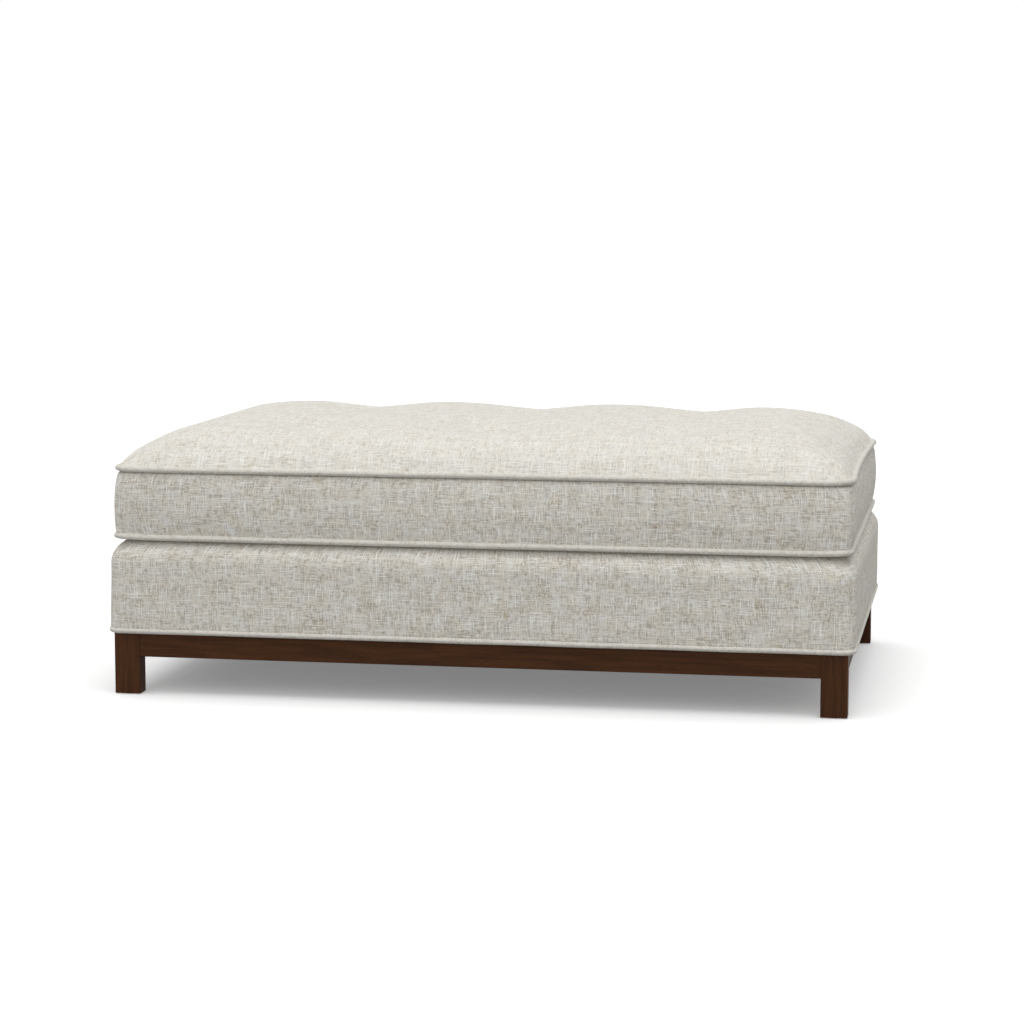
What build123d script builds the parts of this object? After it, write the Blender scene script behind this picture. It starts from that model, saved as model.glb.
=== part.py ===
from build123d import *
import math
import os

# A coffee-table ottoman: a loose, blind-tufted box cushion on a padded box, which stands on a
# dowelled walnut leg frame. Sizes are millimetres. X runs along the length, -Y is the front,
# Z is up, and the origin is on the floor under the middle.

# Whole object
overall_length = 1278.0         # over the welt round the foot of the padded box
overall_depth = 787.0
frame_height = 106.0            # floor to the top of the leg frame
deck_height = 268.0             # floor to the top of the padded box

# Leg frame
frame_end_setback = 13.0        # outer end face of a leg, in from the tip of the welt
frame_side_setback = 9.0        # front or back face of a leg, in the same way
leg_width = 44.5                # along X
leg_depth = 31.75               # along Y
leg_edge_radius = 1.2
rail_height = 40.5
rail_thickness = 22.0
rail_edge_radius = 1.5
long_rail_setback = 1.5         # face of a long rail, in from the face of the legs
short_rail_setback = 4.0

# Dowels, two in each joint of a rail with a leg
dowel_radius = 4.0
dowel_length = 36.0
dowel_height_shares = (0.27, 0.73)      # of the rail height
pin_sides = 6                   # dowels and screws are made many-sided, to keep them light

# Glides, nailed into counterbores under the legs
glide_radius = 11.0
glide_thickness = 5.0
glide_proud = 1.5
glide_sides = 12
glide_nail_radius = 1.3
glide_nail_length = 15.0

# Corner blocks, glued and screwed behind the legs
block_reach = 96.0              # along each rail, from the corner of the rails' inner faces
block_height = 36.0
block_screw_place_share = 0.58  # of the reach, from that same corner
block_screw_length = 38.0
block_screw_bite = 14.0         # how far the tip goes into the rail
screw_radius = 2.2
screw_head_radius = 4.4
screw_head_height = 3.0
screw_tip = 4.0
screw_tip_radius = 0.4
screw_bore_play = 0.6           # between a sunk head and its bore

# Screws that hold the leg frame to the padded box
mount_screw_length = 72.0
mount_screw_radius = 3.0
mount_head_radius = 6.0
mount_head_height = 4.0
mount_place_share = 0.30        # of the block reach, in from both rails
washer_radius = 9.0
washer_thickness = 1.6
washer_sides = 12

# Padded box: boards, posts and stretchers
dust_cover_thickness = 1.0
dust_cover_margin = 12.0
board_height = 115.0
board_thickness = 19.0
post_side = 46.0
stretcher_height = 60.0
stretcher_thickness = 19.0
stretcher_count = 2

# Webbing, woven over and under, and the felt on it
web_width = 70.0
web_thickness = 3.0
web_margin = 8.0                # end of a strip, in from the outer face of its board
web_slope = 18.0                # run in which a strip changes level
web_cross_count = 9             # strips from front to back
web_long_count = 4              # strips from end to end
insulator_thickness = 3.0

# Padding, cover and welts
fabric_thickness = 2.0
side_pad_thickness = 10.0
welt_radius = 5.0
welt_sides = 8
welt_hang = 0.9                 # how far the lowest welt hangs below the padded box
cover_corner_radius = 22.0
cover_swell = 2.5               # how far the sides stand out under the shoulders
shoulder_radius = 35.0
shoulder_corner_growth_share = 0.55     # of the shoulder's inset, added to the corner radius
shoulder_steps = 4
swell_height_share = 0.5        # of the side wall
deck_border = 92.0              # show fabric on the deck, in from the sides of the cover

# Cushion shell
cushion_setback = 8.0           # tip of its welts, in from the tip of the lowest welt
cushion_rest_gap = 0.3          # between the cushion and the deck
low_seam_rise = 3.2             # middle of the lower welt, above the underside of the cushion
bottom_panel_slope = 14.0       # run over which the bottom panel rises to its seam
boxing_height = 116.5           # lower seam to upper seam
boxing_bulge = 13.0
boxing_corner_swell = 12.0      # added to the corner radius at the bulge
boxing_steps = 4
low_corner_radius = 28.0        # round the outside of the lower welt
top_corner_radius = 42.0        # round the outside of the upper welt

# Crown: a low upright lip behind the welt, a tight roll, then a long easy rise
lip_height = 2.5
roll_height = 18.0
roll_reach = 15.0
crown_height = 53.5
crown_reach = 190.0
crown_corner_growth_share = 0.45        # of the inset, added to the corner radius
roll_steps = 4
crown_steps = 4

# Tufts: trumpet-shaped dimples, with a shallow crease from the front row to the back row
tuft_columns = 3
tuft_column_spacing = 313.0
tuft_row_spacing = 384.0
tuft_depth = 24.0
tuft_reach = 150.0
crease_depth = 9.0
crease_reach = 100.0
tuft_overlap = 0.8              # how far a dip's rim stands above the crown
tuft_sides = 12
dip_steps = 3

# Tufting twines and the discs that hold them under the foam
twine_radius = 0.9
twine_sides = 6
anchor_radius = 11.0
anchor_thickness = 3.0
anchor_sides = 12

overrun = 20.0                  # how far a cutting tool passes its work

# Places worked out from the sizes above
frame_x = overall_length / 2 - frame_end_setback
frame_y = overall_depth / 2 - frame_side_setback
leg_inner_x = frame_x - leg_width
leg_inner_y = frame_y - leg_depth
long_rail_y = frame_y - long_rail_setback - rail_thickness
short_rail_x = frame_x - short_rail_setback - rail_thickness
rail_foot = frame_height - rail_height
box_foot = frame_height + dust_cover_thickness
board_top = box_foot + board_height
cover_x = overall_length / 2 - welt_radius
cover_y = overall_depth / 2 - welt_radius
board_x = cover_x - fabric_thickness - side_pad_thickness
board_y = cover_y - fabric_thickness - side_pad_thickness
base_welt_height = box_foot + welt_radius - welt_hang
cover_foot = base_welt_height + welt_radius
shoulder_foot = deck_height - shoulder_radius
web_top = board_top + 2 * web_thickness
insulator_top = web_top + insulator_thickness
web_end_x = board_x - web_margin
web_end_y = board_y - web_margin
cushion_foot = deck_height + cushion_rest_gap
low_seam = cushion_foot + low_seam_rise
top_seam = low_seam + boxing_height
cushion_x = overall_length / 2 - cushion_setback
cushion_y = overall_depth / 2 - cushion_setback
seam_x = cushion_x - 2 * welt_radius
seam_y = cushion_y - 2 * welt_radius
low_seam_corner = low_corner_radius - 2 * welt_radius
top_seam_corner = top_corner_radius - 2 * welt_radius
crown_foot = top_seam + lip_height
crown_top = crown_foot + roll_height + crown_height
core_foot = cushion_foot + fabric_thickness

# Sides of the middle on which each corner lies
corners = {
    "front_left": (-1, -1),
    "front_right": (1, -1),
    "back_left": (-1, 1),
    "back_right": (1, 1),
}


def block(x0, x1, y0, y1, z0, z1):
    """A plain block between two corners."""
    size = Box(x1 - x0, y1 - y0, z1 - z0, align=(Align.MIN, Align.MIN, Align.MIN))
    return Pos(x0, y0, z0) * size


def centred_block(half_x, half_y, z0, z1):
    return block(-half_x, half_x, -half_y, half_y, z0, z1)


def disc(radius, sides):
    """A many-sided outline whose flats lie at the radius."""
    return RegularPolygon(radius, sides, major_radius=False, rotation=180 / sides)


def pin(radius, sides, start, end):
    """A straight bar between two points."""
    line = Vector(*end) - Vector(*start)
    plane = Plane(origin=start, z_dir=line)
    return extrude(plane * disc(radius, sides), amount=line.length)


def plan(half_x, half_y, corner, z):
    """A rounded rectangle lying at one height."""
    return Pos(0, 0, z) * RectangleRounded(2 * half_x, 2 * half_y, corner)


def to_corner(shape, side_x, side_y):
    """Carry a shape made at the back right corner over to another corner."""
    if side_x < 0 and side_y < 0:
        return Rot(0, 0, 180) * shape
    if side_x < 0:
        return mirror(shape, Plane.YZ)
    if side_y < 0:
        return mirror(shape, Plane.XZ)
    return shape


def at_all_corners(shapes):
    return [to_corner(shape, *sides) for sides in corners.values() for shape in shapes]


def group(shapes):
    """Separate solids kept in one node."""
    return Compound([solid for shape in shapes for solid in shape.solids()])


# Leg frame, made for the back right corner and mirrored to the others

def glide():
    foot = extrude(disc(glide_radius, glide_sides), amount=glide_thickness)
    nail_top = glide_thickness + glide_nail_length
    nail = pin(glide_nail_radius, pin_sides, (0, 0, glide_thickness), (0, 0, nail_top))
    return Pos(frame_x - leg_width / 2, frame_y - leg_depth / 2, 0) * (foot + nail)


def corner_dowels():
    """The four dowels of one corner: two along each rail."""
    half = dowel_length / 2
    rail_y = long_rail_y + rail_thickness / 2
    rail_x = short_rail_x + rail_thickness / 2
    dowels = []
    for share in dowel_height_shares:
        z = rail_foot + share * rail_height
        along_x = [(leg_inner_x + end, rail_y, z) for end in (-half, half)]
        along_y = [(rail_x, leg_inner_y + end, z) for end in (-half, half)]
        dowels += [pin(dowel_radius, pin_sides, *ends) for ends in (along_x, along_y)]
    return dowels


def leg():
    post = block(leg_inner_x, frame_x, leg_inner_y, frame_y, glide_proud, frame_height)
    post = fillet(post.edges().filter_by(Axis.Z), leg_edge_radius)
    return post - [glide(), *corner_dowels()]


def long_rail():
    rail_back_y = long_rail_y + rail_thickness
    bar = block(-leg_inner_x, leg_inner_x, long_rail_y, rail_back_y, rail_foot, frame_height)
    low_edges = bar.edges().filter_by(Axis.X).sort_by(Axis.Z)[:2]
    bar = fillet(low_edges, rail_edge_radius)
    return bar - at_all_corners(corner_dowels()) - at_all_corners(block_screws())


def short_rail():
    rail_end_x = short_rail_x + rail_thickness
    bar = block(short_rail_x, rail_end_x, -leg_inner_y, leg_inner_y, rail_foot, frame_height)
    low_edges = bar.edges().filter_by(Axis.Y).sort_by(Axis.Z)[:2]
    bar = fillet(low_edges, rail_edge_radius)
    return bar - at_all_corners(corner_dowels()) - at_all_corners(block_screws())


def screw(length, radius, head_radius, head_height):
    """A screw with its tip at the origin and its head up the Z axis."""
    shoulder = Pos(0, 0, screw_tip) * disc(radius, pin_sides)
    tip = loft([disc(screw_tip_radius, pin_sides), shoulder], ruled=True)
    shank = pin(radius, pin_sides, (0, 0, screw_tip), (0, 0, length))
    head = pin(head_radius, pin_sides, (0, 0, length), (0, 0, length + head_height))
    return tip + shank + head


def block_screw_places():
    """Where the tips of a corner block's two screws go, with the way each screw points back."""
    z = frame_height - block_height / 2
    step = block_screw_place_share * block_reach
    into_long = Plane(origin=(short_rail_x - step, long_rail_y + block_screw_bite, z), z_dir=(0, -1, 0))
    into_short = Plane(origin=(short_rail_x + block_screw_bite, long_rail_y - step, z), z_dir=(-1, 0, 0))
    return [into_long, into_short]


def block_screws():
    shape = screw(block_screw_length, screw_radius, screw_head_radius, screw_head_height)
    return [place * shape for place in block_screw_places()]


def mount_place():
    step = mount_place_share * block_reach
    return short_rail_x - step, long_rail_y - step


def mount_screw():
    """Upright screw through the corner block into the post of the padded box."""
    x, y = mount_place()
    tip = frame_height - block_height - washer_thickness + mount_screw_length
    shape = screw(mount_screw_length, mount_screw_radius, mount_head_radius, mount_head_height)
    return Pos(x, y, tip) * Rot(180, 0, 0) * shape


def washer():
    x, y = mount_place()
    plate = extrude(disc(washer_radius, washer_sides), amount=-washer_thickness)
    return Pos(x, y, frame_height - block_height) * plate - mount_screw()


def corner_block():
    """A gusset that fills the corner of two rails, notched round the leg."""
    outline = Polyline(
        (short_rail_x - block_reach, long_rail_y),
        (leg_inner_x, long_rail_y),
        (leg_inner_x, leg_inner_y),
        (short_rail_x, leg_inner_y),
        (short_rail_x, long_rail_y - block_reach),
        close=True,
    )
    gusset = extrude(make_face(outline), amount=block_height)
    gusset = Pos(0, 0, frame_height - block_height) * gusset
    bore_radius = screw_head_radius + screw_bore_play
    bore = pin(bore_radius, pin_sides, (0, 0, block_screw_length), (0, 0, block_reach))
    bores = [place * bore for place in block_screw_places()]
    return gusset - block_screws() - bores - mount_screw()


# Padded box

def dust_cover():
    half_x = board_x - dust_cover_margin
    half_y = board_y - dust_cover_margin
    sheet = centred_block(half_x, half_y, frame_height, box_foot)
    return sheet - at_all_corners([mount_screw()])


def long_board():
    return block(-board_x, board_x, board_y - board_thickness, board_y, box_foot, board_top)


def short_board():
    half_y = board_y - board_thickness
    return block(board_x - board_thickness, board_x, -half_y, half_y, box_foot, board_top)


def corner_post():
    x1 = board_x - board_thickness
    y1 = board_y - board_thickness
    return block(x1 - post_side, x1, y1 - post_side, y1, box_foot, board_top) - mount_screw()


def stretchers():
    """Boards from front to back that keep the long boards straight."""
    inner_x = board_x - board_thickness
    half_y = board_y - board_thickness
    spacing = 2 * inner_x / (stretcher_count + 1)
    bars = []
    for i in range(stretcher_count):
        x = -inner_x + (i + 1) * spacing
        side = stretcher_thickness / 2
        bars.append(block(x - side, x + side, -half_y, half_y, box_foot, box_foot + stretcher_height))
    return bars


def strip_places(half_span, count):
    """Centre lines of evenly spread strips."""
    spacing = 2 * half_span / count
    return [-half_span + (i + 0.5) * spacing for i in range(count)]


def woven_profile(half_length, crossings, first_over):
    """Side view of one strip that goes over and under the strips it crosses."""
    half_flat = web_width / 2
    lower = [(-half_length, 0)]
    for i, middle in enumerate(crossings):
        if (i % 2 == 0) == first_over:
            lower.append((middle - half_flat - web_slope, 0))
            lower.append((middle - half_flat, web_thickness))
            lower.append((middle + half_flat, web_thickness))
            lower.append((middle + half_flat + web_slope, 0))
    lower.append((half_length, 0))
    upper = [(s, z + web_thickness) for s, z in reversed(lower)]
    return make_face(Polyline(*lower, *upper, close=True))


def webbing_cross():
    """Strips from the front board to the back board."""
    places = strip_places(board_x - board_thickness, web_cross_count)
    crossings = strip_places(board_y - board_thickness, web_long_count)
    strips = []
    for i, x in enumerate(places):
        side_view = Plane.YZ * woven_profile(web_end_y, crossings, i % 2 == 0)
        strips.append(Pos(x, 0, board_top) * extrude(side_view, amount=web_width / 2, both=True))
    return strips


def webbing_long():
    """Strips from the left board to the right board."""
    places = strip_places(board_y - board_thickness, web_long_count)
    crossings = strip_places(board_x - board_thickness, web_cross_count)
    strips = []
    for i, y in enumerate(places):
        side_view = Plane.XZ * woven_profile(web_end_x, crossings, i % 2 == 1)
        strips.append(Pos(0, y, board_top) * extrude(side_view, amount=web_width / 2, both=True))
    return strips


def insulator():
    return centred_block(web_end_x, web_end_y, web_top, insulator_top)


def base_form(inset):
    """The padded box as the cover drapes it, or the same form a little smaller all round."""
    def ring(swell, pull, z):
        """Plan of the cover where it stands out by swell and has rolled in by pull."""
        corner = cover_corner_radius + swell - inset + shoulder_corner_growth_share * pull
        out = swell - inset - pull
        return plan(cover_x + out, cover_y + out, corner, z)

    middle = cover_foot + swell_height_share * (shoulder_foot - cover_foot)
    walls = [ring(0, 0, cover_foot), ring(cover_swell, 0, middle), ring(cover_swell, 0, shoulder_foot)]
    radius = shoulder_radius - inset
    rings = []
    for i in range(shoulder_steps + 1):
        angle = math.pi / 2 * i / shoulder_steps
        pull = radius * (1 - math.cos(angle))
        rings.append(ring(cover_swell, pull, shoulder_foot + radius * math.sin(angle)))
    return loft(walls, ruled=True) + loft(rings, ruled=True)


def base_filling():
    """The space inside the cover."""
    return base_form(fabric_thickness)


def deck_window(z0, z1):
    return centred_block(cover_x - deck_border, cover_y - deck_border, z0, z1)


def base_cover():
    shell = base_form(0) - base_filling()
    return shell - deck_window(insulator_top, deck_height + overrun)


def deck_cloth():
    return deck_window(deck_height - fabric_thickness, deck_height)


def deck_foam():
    """Foam slab with the rolled edge, hollowed below for the webbing and the felt."""
    slab = base_filling()
    slab -= centred_block(overall_length, overall_depth, 0, board_top)
    return slab - centred_block(web_end_x, web_end_y, board_top - overrun, insulator_top)


def side_padding():
    """Padding round the boards, split into a front, a back and two end pads."""
    ring = base_filling()
    ring -= centred_block(overall_length, overall_depth, board_top, deck_height + overrun)
    ring -= centred_block(board_x, board_y, 0, board_top)
    long_pad = ring & block(-overall_length, overall_length, board_y, overall_depth, 0, board_top)
    short_pad = ring & block(board_x, overall_length, -board_y, board_y, 0, board_top)
    return long_pad, short_pad


def welt(half_x, half_y, corner, z):
    """Covered cord round a seam: four straight runs joined by four quarter turns."""
    mid_x = half_x - welt_radius
    mid_y = half_y - welt_radius
    turn = corner - welt_radius
    straight_x = mid_x - turn
    straight_y = mid_y - turn
    section = Plane.XZ * (Pos(turn, 0) * disc(welt_radius, welt_sides))
    quarter = Pos(straight_x, straight_y, z) * revolve(section, Axis.Z, 90)
    end_run = pin(welt_radius, welt_sides, (mid_x, -straight_y, z), (mid_x, straight_y, z))
    side_run = pin(welt_radius, welt_sides, (-straight_x, mid_y, z), (straight_x, mid_y, z))
    runs = [end_run, mirror(end_run, Plane.YZ), side_run, mirror(side_run, Plane.XZ)]
    return Part() + at_all_corners([quarter]) + runs


def base_welt():
    corner = cover_corner_radius + welt_radius
    return welt(overall_length / 2, overall_depth / 2, corner, base_welt_height)


# Cushion

def boxing_form(inset):
    """The band between the seams as a solid: upright behind the welts, bulged between them."""
    half_x = seam_x - inset
    half_y = seam_y - inset
    low_corner = low_seam_corner - inset
    top_corner = top_seam_corner - inset
    low_bulge = low_seam + welt_radius
    top_bulge = top_seam - welt_radius
    low = plan(half_x, half_y, low_corner, low_bulge)
    top = plan(half_x, half_y, top_corner, top_bulge)
    rings = []
    for i in range(boxing_steps + 1):
        climb = i / boxing_steps
        swell = 4 * climb * (1 - climb)
        corner = low_corner + climb * (top_corner - low_corner) + swell * boxing_corner_swell
        out = swell * boxing_bulge
        z = low_bulge + climb * (top_bulge - low_bulge)
        rings.append(plan(half_x + out, half_y + out, corner, z))
    bands = extrude(low, amount=-welt_radius) + extrude(top, amount=welt_radius)
    return loft(rings, ruled=True) + bands


def crown_form(inset):
    """The crowned top of the cushion, from the seam upwards, as stacked plans that draw in."""
    def ring(step, roll):
        """Plan of the crown a step in from the seam, where the roll has risen by a share."""
        corner = top_seam_corner + crown_corner_growth_share * step
        rise = roll * roll_height + crown_height * (1 - (1 - step / crown_reach) ** 2)
        in_by = inset + step
        return plan(seam_x - in_by, seam_y - in_by, corner, crown_foot - inset + rise)

    lip = extrude(ring(0, 0), amount=top_seam - crown_foot)
    turns = [math.pi / 2 * i / roll_steps for i in range(roll_steps + 1)]
    rings = [ring(roll_reach * (1 - math.cos(turn)), math.sin(turn)) for turn in turns]
    stride = (crown_reach - roll_reach) / crown_steps
    rings += [ring(roll_reach + (i + 1) * stride, 1) for i in range(crown_steps)]
    return lip + loft(rings, ruled=True)


def tuft_places():
    first = -(tuft_columns - 1) / 2 * tuft_column_spacing
    columns = [first + i * tuft_column_spacing for i in range(tuft_columns)]
    return [(x, side * tuft_row_spacing / 2) for x in columns for side in (-1, 1)]


def dip_points(depth, reach):
    """Points on the arc from the lowest point of a dip out to its level rim."""
    radius = (reach ** 2 + depth ** 2) / (2 * depth)
    whole_turn = math.asin(reach / radius)
    turns = [whole_turn * (1 - i / dip_steps) for i in range(dip_steps + 1)]
    return [(reach - radius * math.sin(turn), -radius * (1 - math.cos(turn))) for turn in turns]


def dimple(depth, reach):
    """Tool for a trumpet-shaped dip."""
    first, *others = dip_points(depth, reach)
    levels = [(twine_radius, first[1]), *others]
    rings = [Pos(0, 0, z) * disc(r, tuft_sides) for r, z in levels]
    return loft(rings, ruled=True) + extrude(rings[-1], amount=overrun)


def crease(depth, reach, half_length):
    """Tool for a straight shallow trough along Y."""
    floor = dip_points(depth, reach)
    half_floor = Polyline(*floor, (reach, overrun), (0, overrun), close=True)
    half = extrude(Plane.XZ * make_face(half_floor), amount=half_length, both=True)
    return half + mirror(half, Plane.YZ)


def tuft_dips(drop):
    """Tools that sink the tufts and the creases between their rows."""
    level = crown_top + tuft_overlap - drop
    tuft = dimple(tuft_depth + tuft_overlap, tuft_reach)
    trough = crease(crease_depth + tuft_overlap, crease_reach, tuft_row_spacing / 2)
    troughs = [Pos(x, 0, level) * trough for x, y in tuft_places() if y > 0]
    return [Pos(x, y, level) * tuft for x, y in tuft_places()] + troughs


def tuft_twines():
    foot = core_foot + anchor_thickness
    head = crown_top - tuft_depth
    return [pin(twine_radius, twine_sides, (x, y, foot), (x, y, head)) for x, y in tuft_places()]


def tuft_anchors():
    """Discs under the foam, on which the twines are tied off."""
    plate = extrude(disc(anchor_radius, anchor_sides), amount=anchor_thickness)
    return [Pos(x, y, core_foot) * plate for x, y in tuft_places()]


def crown_filling():
    """The space under the top panel, from the seam upwards."""
    space = crown_form(fabric_thickness) - tuft_dips(fabric_thickness)
    return space - centred_block(seam_x, seam_y, 0, top_seam)


def top_panel():
    return crown_form(0) - tuft_dips(0) - crown_filling() - tuft_twines()


def crown_pad():
    return crown_filling() - tuft_twines()


def boxing_filling():
    """The space inside the boxing."""
    return boxing_form(fabric_thickness)


def boxing():
    return boxing_form(0) - boxing_filling()


def bottom_form(inset):
    """Shallow pan of the underside, from its seam down to where it lies on the deck."""
    rim = plan(seam_x - inset, seam_y - inset, low_seam_corner - inset, low_seam)
    in_by = inset + bottom_panel_slope
    flat = plan(seam_x - in_by, seam_y - in_by, low_seam_corner, cushion_foot + inset)
    return loft([flat, rim], ruled=True)


def bottom_panel():
    return bottom_form(0) - bottom_form(fabric_thickness)


def foam_core():
    filling = boxing_filling() + bottom_form(fabric_thickness)
    return filling - tuft_twines() - tuft_anchors()


def cushion_welt(corner, z):
    return welt(cushion_x, cushion_y, corner, z)


def pieces():
    """Every node of the ottoman, by name."""
    nodes = {}
    for name, sides in corners.items():
        nodes["leg_" + name] = to_corner(leg(), *sides)
    nodes["rail_back"] = long_rail()
    nodes["rail_front"] = mirror(long_rail(), Plane.XZ)
    nodes["rail_right"] = short_rail()
    nodes["rail_left"] = mirror(short_rail(), Plane.YZ)
    nodes["rail_dowels"] = group(at_all_corners(corner_dowels()))
    nodes["leg_glides"] = group(at_all_corners([glide()]))
    nodes["leg_corner_blocks"] = group(at_all_corners([corner_block()]))
    nodes["corner_block_screws"] = group(at_all_corners(block_screws()))
    nodes["mounting_screws"] = group(at_all_corners([mount_screw()]))
    nodes["mounting_washers"] = group(at_all_corners([washer()]))
    nodes["dust_cover"] = dust_cover()
    nodes["box_board_back"] = long_board()
    nodes["box_board_front"] = mirror(long_board(), Plane.XZ)
    nodes["box_board_right"] = short_board()
    nodes["box_board_left"] = mirror(short_board(), Plane.YZ)
    nodes["box_corner_posts"] = group(at_all_corners([corner_post()]))
    nodes["box_stretchers"] = group(stretchers())
    nodes["webbing_cross_strips"] = group(webbing_cross())
    nodes["webbing_long_strips"] = group(webbing_long())
    nodes["deck_insulator"] = insulator()
    nodes["deck_foam"] = deck_foam()
    long_pad, short_pad = side_padding()
    nodes["side_pad_back"] = long_pad
    nodes["side_pad_front"] = mirror(long_pad, Plane.XZ)
    nodes["side_pad_right"] = short_pad
    nodes["side_pad_left"] = mirror(short_pad, Plane.YZ)
    nodes["base_cover"] = base_cover()
    nodes["deck_cloth"] = deck_cloth()
    nodes["base_welt"] = base_welt()
    nodes["cushion_top_panel"] = top_panel()
    nodes["cushion_boxing"] = boxing()
    nodes["cushion_bottom_panel"] = bottom_panel()
    nodes["cushion_top_welt"] = cushion_welt(top_corner_radius, top_seam)
    nodes["cushion_bottom_welt"] = cushion_welt(low_corner_radius, low_seam)
    nodes["cushion_foam_core"] = foam_core()
    nodes["cushion_crown_pad"] = crown_pad()
    nodes["tuft_twines"] = group(tuft_twines())
    nodes["tuft_anchors"] = group(tuft_anchors())
    return nodes


os.makedirs("parts", exist_ok=True)
for name, shape in pieces().items():
    export_step(shape, "parts/" + name + ".step")
    print(name, len(shape.solids()), round(shape.volume))
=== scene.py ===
# %% [markdown]
# # A coffee-table ottoman, dressed
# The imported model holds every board, dowel, screw and pad at its real size. This lesson loads it as
# a fixed frame and gives it its looks: cloth is rebuilt as cloth, since a solid from CAD has no
# softness, while the wood and the hidden hardware keep their exact shapes and get finishes.

# %% Load the frame
import math

import bpy
import numpy as np
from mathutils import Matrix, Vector, noise


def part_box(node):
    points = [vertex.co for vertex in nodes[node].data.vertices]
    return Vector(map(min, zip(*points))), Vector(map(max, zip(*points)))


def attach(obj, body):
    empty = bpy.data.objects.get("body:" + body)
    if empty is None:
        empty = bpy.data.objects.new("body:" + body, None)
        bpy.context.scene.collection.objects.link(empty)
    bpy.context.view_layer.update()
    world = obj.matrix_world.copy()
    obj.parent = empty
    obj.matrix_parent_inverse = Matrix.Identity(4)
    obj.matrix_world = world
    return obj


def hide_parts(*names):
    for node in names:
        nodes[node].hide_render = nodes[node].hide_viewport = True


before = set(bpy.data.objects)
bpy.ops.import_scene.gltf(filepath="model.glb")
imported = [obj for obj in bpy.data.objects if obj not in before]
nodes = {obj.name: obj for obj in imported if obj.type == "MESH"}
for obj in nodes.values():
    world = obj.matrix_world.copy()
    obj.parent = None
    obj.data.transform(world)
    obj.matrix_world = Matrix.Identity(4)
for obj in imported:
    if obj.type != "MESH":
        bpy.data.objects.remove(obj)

scene = bpy.context.scene
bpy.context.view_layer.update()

# %% [markdown]
# ## Sizes
# The cloth has to lie on what carries it. So its sizes are read from the boxes of the nodes that it
# replaces, and only what a box can't tell, such as the depth of a bulge, is written as a number.
# Everything is in metres, and a point nearer to a line than `on_line` counts as lying on it.

# %% Read the sizes
base_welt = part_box("base_welt")
low_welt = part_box("cushion_bottom_welt")
top_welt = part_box("cushion_top_welt")
deck_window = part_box("deck_cloth")

welt_radius = (top_welt[1].z - top_welt[0].z) / 2
cover_x = base_welt[1].x - welt_radius
cover_y = base_welt[1].y - welt_radius
base_seam = (base_welt[0].z + base_welt[1].z) / 2
deck = deck_window[1].z
seam_x = top_welt[1].x - welt_radius
seam_y = top_welt[1].y - welt_radius
low_seam = (low_welt[0].z + low_welt[1].z) / 2
top_seam = (top_welt[0].z + top_welt[1].z) / 2
on_line = 0.0005
print("seams at", [round(z, 4) for z in (base_seam, low_seam, top_seam)], "deck at", round(deck, 4))


# %% [markdown]
# ## Writing shader maths as sums
# A finish is a graph of nodes, which is hard to read as code. A small class wraps an output socket,
# so that `1 - dark * 0.4` adds the Math nodes by itself. Every other node comes from one method:
# its type, its settings, then the values or links of its sockets.

# %% A wire
class Wire:
    """One output of a node, on which sums can be written."""

    def __init__(self, finish, socket):
        self.finish = finish
        self.socket = socket

    def sum(self, operation, first, second):
        return self.finish.node("ShaderNodeMath", {"operation": operation}, {0: first, 1: second})

    def __add__(self, other):
        return self.sum("ADD", self, other)

    def __radd__(self, other):
        return self.sum("ADD", other, self)

    def __sub__(self, other):
        return self.sum("SUBTRACT", self, other)

    def __rsub__(self, other):
        return self.sum("SUBTRACT", other, self)

    def __mul__(self, other):
        return self.sum("MULTIPLY", self, other)

    def __rmul__(self, other):
        return self.sum("MULTIPLY", other, self)


# %% A finish
class Finish:
    """The nodes of a material or a world, while they are made and joined."""

    def __init__(self, holder):
        holder.use_nodes = True
        self.holder = holder
        self.tree = holder.node_tree
        self.tree.nodes.clear()

    def node(self, kind, settings=None, sockets=None, out=0):
        made = self.tree.nodes.new(kind)
        for name, value in (settings or {}).items():
            setattr(made, name, value)
        for place, value in (sockets or {}).items():
            if isinstance(value, Wire):
                self.tree.links.new(value.socket, made.inputs[place])
            else:
                made.inputs[place].default_value = value
        return Wire(self, made.outputs[out]) if made.outputs else made

    def stretched(self, place, *shares):
        """The same place, measured in finer or coarser steps each way."""
        return self.node("ShaderNodeVectorMath", {"operation": "MULTIPLY"}, {0: place, 1: shares})

    def clouds(self, place, scale=1.0, detail=2.0, rough=0.5):
        sockets = {"Vector": place, "Scale": scale, "Detail": detail, "Roughness": rough}
        return self.node("ShaderNodeTexNoise", {"noise_dimensions": "3D"}, sockets)

    def rise(self, value, low, high):
        """0 below low, 1 above high and a soft step between them."""
        sockets = {"Value": value, "From Min": low, "From Max": high}
        return self.node("ShaderNodeMapRange", {"interpolation_type": "SMOOTHSTEP"}, sockets)

    def wave(self, value, pitch):
        """A sine that repeats each pitch."""
        return self.node("ShaderNodeMath", {"operation": "SINE"}, {0: value * (2 * math.pi / pitch)})

    def mixed(self, first, second, share):
        """Two colours, the second by its share."""
        sockets = {0: share, 6: first, 7: second}
        return self.node("ShaderNodeMix", {"data_type": "RGBA"}, sockets, out=2)

    def relief(self, height, depth, strength):
        sockets = {"Height": height, "Distance": depth, "Strength": strength}
        return self.node("ShaderNodeBump", {}, sockets)

    def surface(self, colour, roughness, normal, fixed):
        """The closing shader. What varies is linked, and the rest is set on its own sockets."""
        sockets = {"Base Color": colour, "Roughness": roughness, "Normal": normal, **fixed}
        shader = self.node("ShaderNodeBsdfPrincipled", {}, sockets)
        self.node("ShaderNodeOutputMaterial", {}, {"Surface": shader})
        return self.holder


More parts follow.
